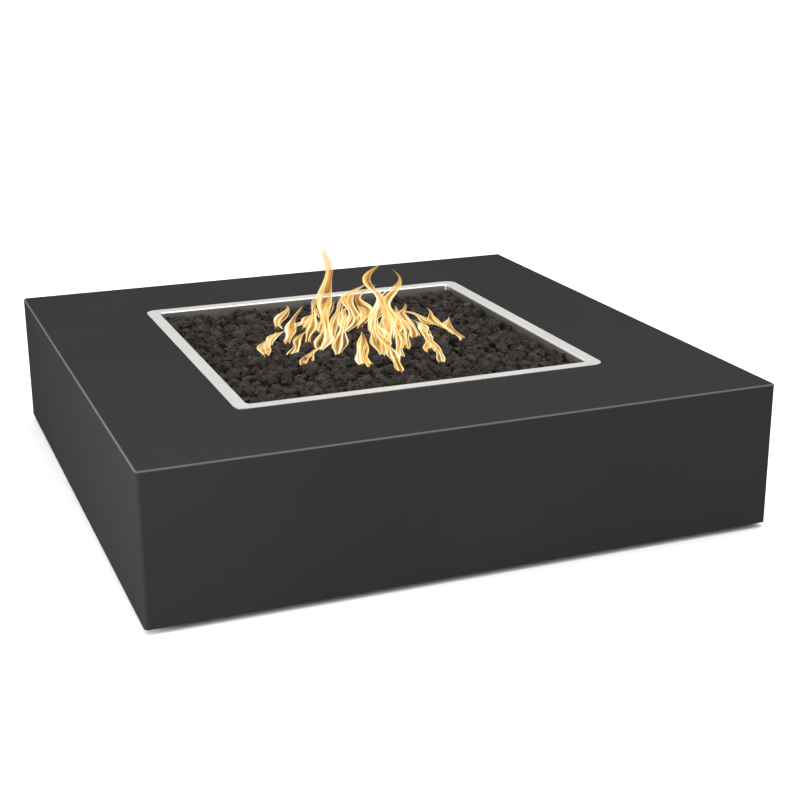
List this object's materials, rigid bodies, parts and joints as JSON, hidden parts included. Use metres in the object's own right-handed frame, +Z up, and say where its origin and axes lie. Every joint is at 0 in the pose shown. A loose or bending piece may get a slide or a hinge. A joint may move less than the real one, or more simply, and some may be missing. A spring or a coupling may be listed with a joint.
{
  "type": "gas fire pit",
  "caption": "Low square outdoor gas fire pit: powder-coated steel shell, drop-in stainless pan with lava rock over a ring burner, key valve, service door.",
  "frame": {"origin": "middle of the square footprint, on the floor under the feet", "axes": "+Z up, the plain front faces -Y, the service side with the door and key valve faces +Y"},
  "size_m": [1.327, 1.382, 0.319],
  "materials": {
    "powder_coat": "satin",
    "stainless": "brushed",
    "burner_steel": "heat tinted",
    "zinc_steel": "zinc plated",
    "brass": "machined",
    "black_iron": "rough",
    "chrome": "polished",
    "hose_steel": "corrugated stainless",
    "black_plastic": "moulded",
    "seal_rubber": "matt",
    "lava_rock": "porous"
  },
  "bodies": {
    "shell": {"catch_bracket": "zinc_steel", "catch_screws": "zinc_steel", "fire_pit_shell": "powder_coat", "flare_fitting_valve": "brass", "foot_bracket_back_left": "zinc_steel", "foot_bracket_back_right": "zinc_steel", "foot_bracket_front_left": "zinc_steel", "foot_bracket_front_right": "zinc_steel", "foot_weld_nuts": "zinc_steel", "gas_hose": "hose_steel", "hinge_frame_leaf_lower": "zinc_steel", "hinge_frame_leaf_upper": "zinc_steel", "hinge_frame_rivets": "zinc_steel", "hinge_pin_lower": "zinc_steel", "hinge_pin_upper": "zinc_steel", "hose_nut_burner": "brass", "hose_nut_valve": "brass", "magnetic_catch": "black_plastic", "stem_seal_ring": "seal_rubber", "valve_body": "brass", "valve_bonnet": "brass", "valve_cover_plate": "chrome", "valve_neck_nut": "brass", "vent_cover_back": "stainless", "vent_cover_side": "stainless", "vent_screws_back": "zinc_steel", "vent_screws_side": "zinc_steel"},
    "door": {"access_door": "powder_coat", "door_knob": "chrome", "door_knob_screw": "zinc_steel", "hinge_door_leaf_lower": "zinc_steel", "hinge_door_leaf_upper": "zinc_steel", "hinge_door_rivets": "zinc_steel", "strike_plate": "zinc_steel"},
    "pan": {"burner_pan": "stainless", "lava_rock_bed": "lava_rock", "double_ring_burner": "burner_steel", "burner_washer": "zinc_steel", "burner_nipple": "black_iron", "burner_locknut": "black_iron", "flare_fitting_burner": "brass"},
    "stem": {"valve_plug": "brass", "valve_stem": "brass"},
    "key": {"valve_key": "chrome"},
    "foot_front_left": {"levelling_pad_front_left": "black_plastic", "levelling_stud_front_left": "zinc_steel"},
    "foot_front_right": {"levelling_pad_front_right": "black_plastic", "levelling_stud_front_right": "zinc_steel"},
    "foot_back_left": {"levelling_pad_back_left": "black_plastic", "levelling_stud_back_left": "zinc_steel"},
    "foot_back_right": {"levelling_pad_back_right": "black_plastic", "levelling_stud_back_right": "zinc_steel"}
  },
  "joints": [
    {"name": "door_hinge", "type": "hinge", "parent": "shell", "child": "door", "pos_m": [0.1515, 0.665, 0.158], "axis": [0, 0, -1], "range_deg": [0, 110]},
    {"name": "valve_turn", "type": "hinge", "parent": "shell", "child": "stem", "pos_m": [0.3, 0.6135, 0.15], "axis": [0, 1, 0], "range_deg": [0, 90]},
    {"name": "key_pull", "type": "slide", "parent": "stem", "child": "key", "axis": [0, 1, 0], "range_m": [0, 0.08]},
    {"name": "pan_lift", "type": "slide", "parent": "shell", "child": "pan", "axis": [0, 0, 1], "range_m": [0, 0.25]},
    {"name": "foot_screw_front_left", "type": "slide", "parent": "shell", "child": "foot_front_left", "axis": [0, 0, -1], "range_m": [-0.003, 0.02]},
    {"name": "foot_screw_front_right", "type": "slide", "parent": "shell", "child": "foot_front_right", "axis": [0, 0, -1], "range_m": [-0.003, 0.02]},
    {"name": "foot_screw_back_left", "type": "slide", "parent": "shell", "child": "foot_back_left", "axis": [0, 0, -1], "range_m": [-0.003, 0.02]},
    {"name": "foot_screw_back_right", "type": "slide", "parent": "shell", "child": "foot_back_right", "axis": [0, 0, -1], "range_m": [-0.003, 0.02]}
  ]
}
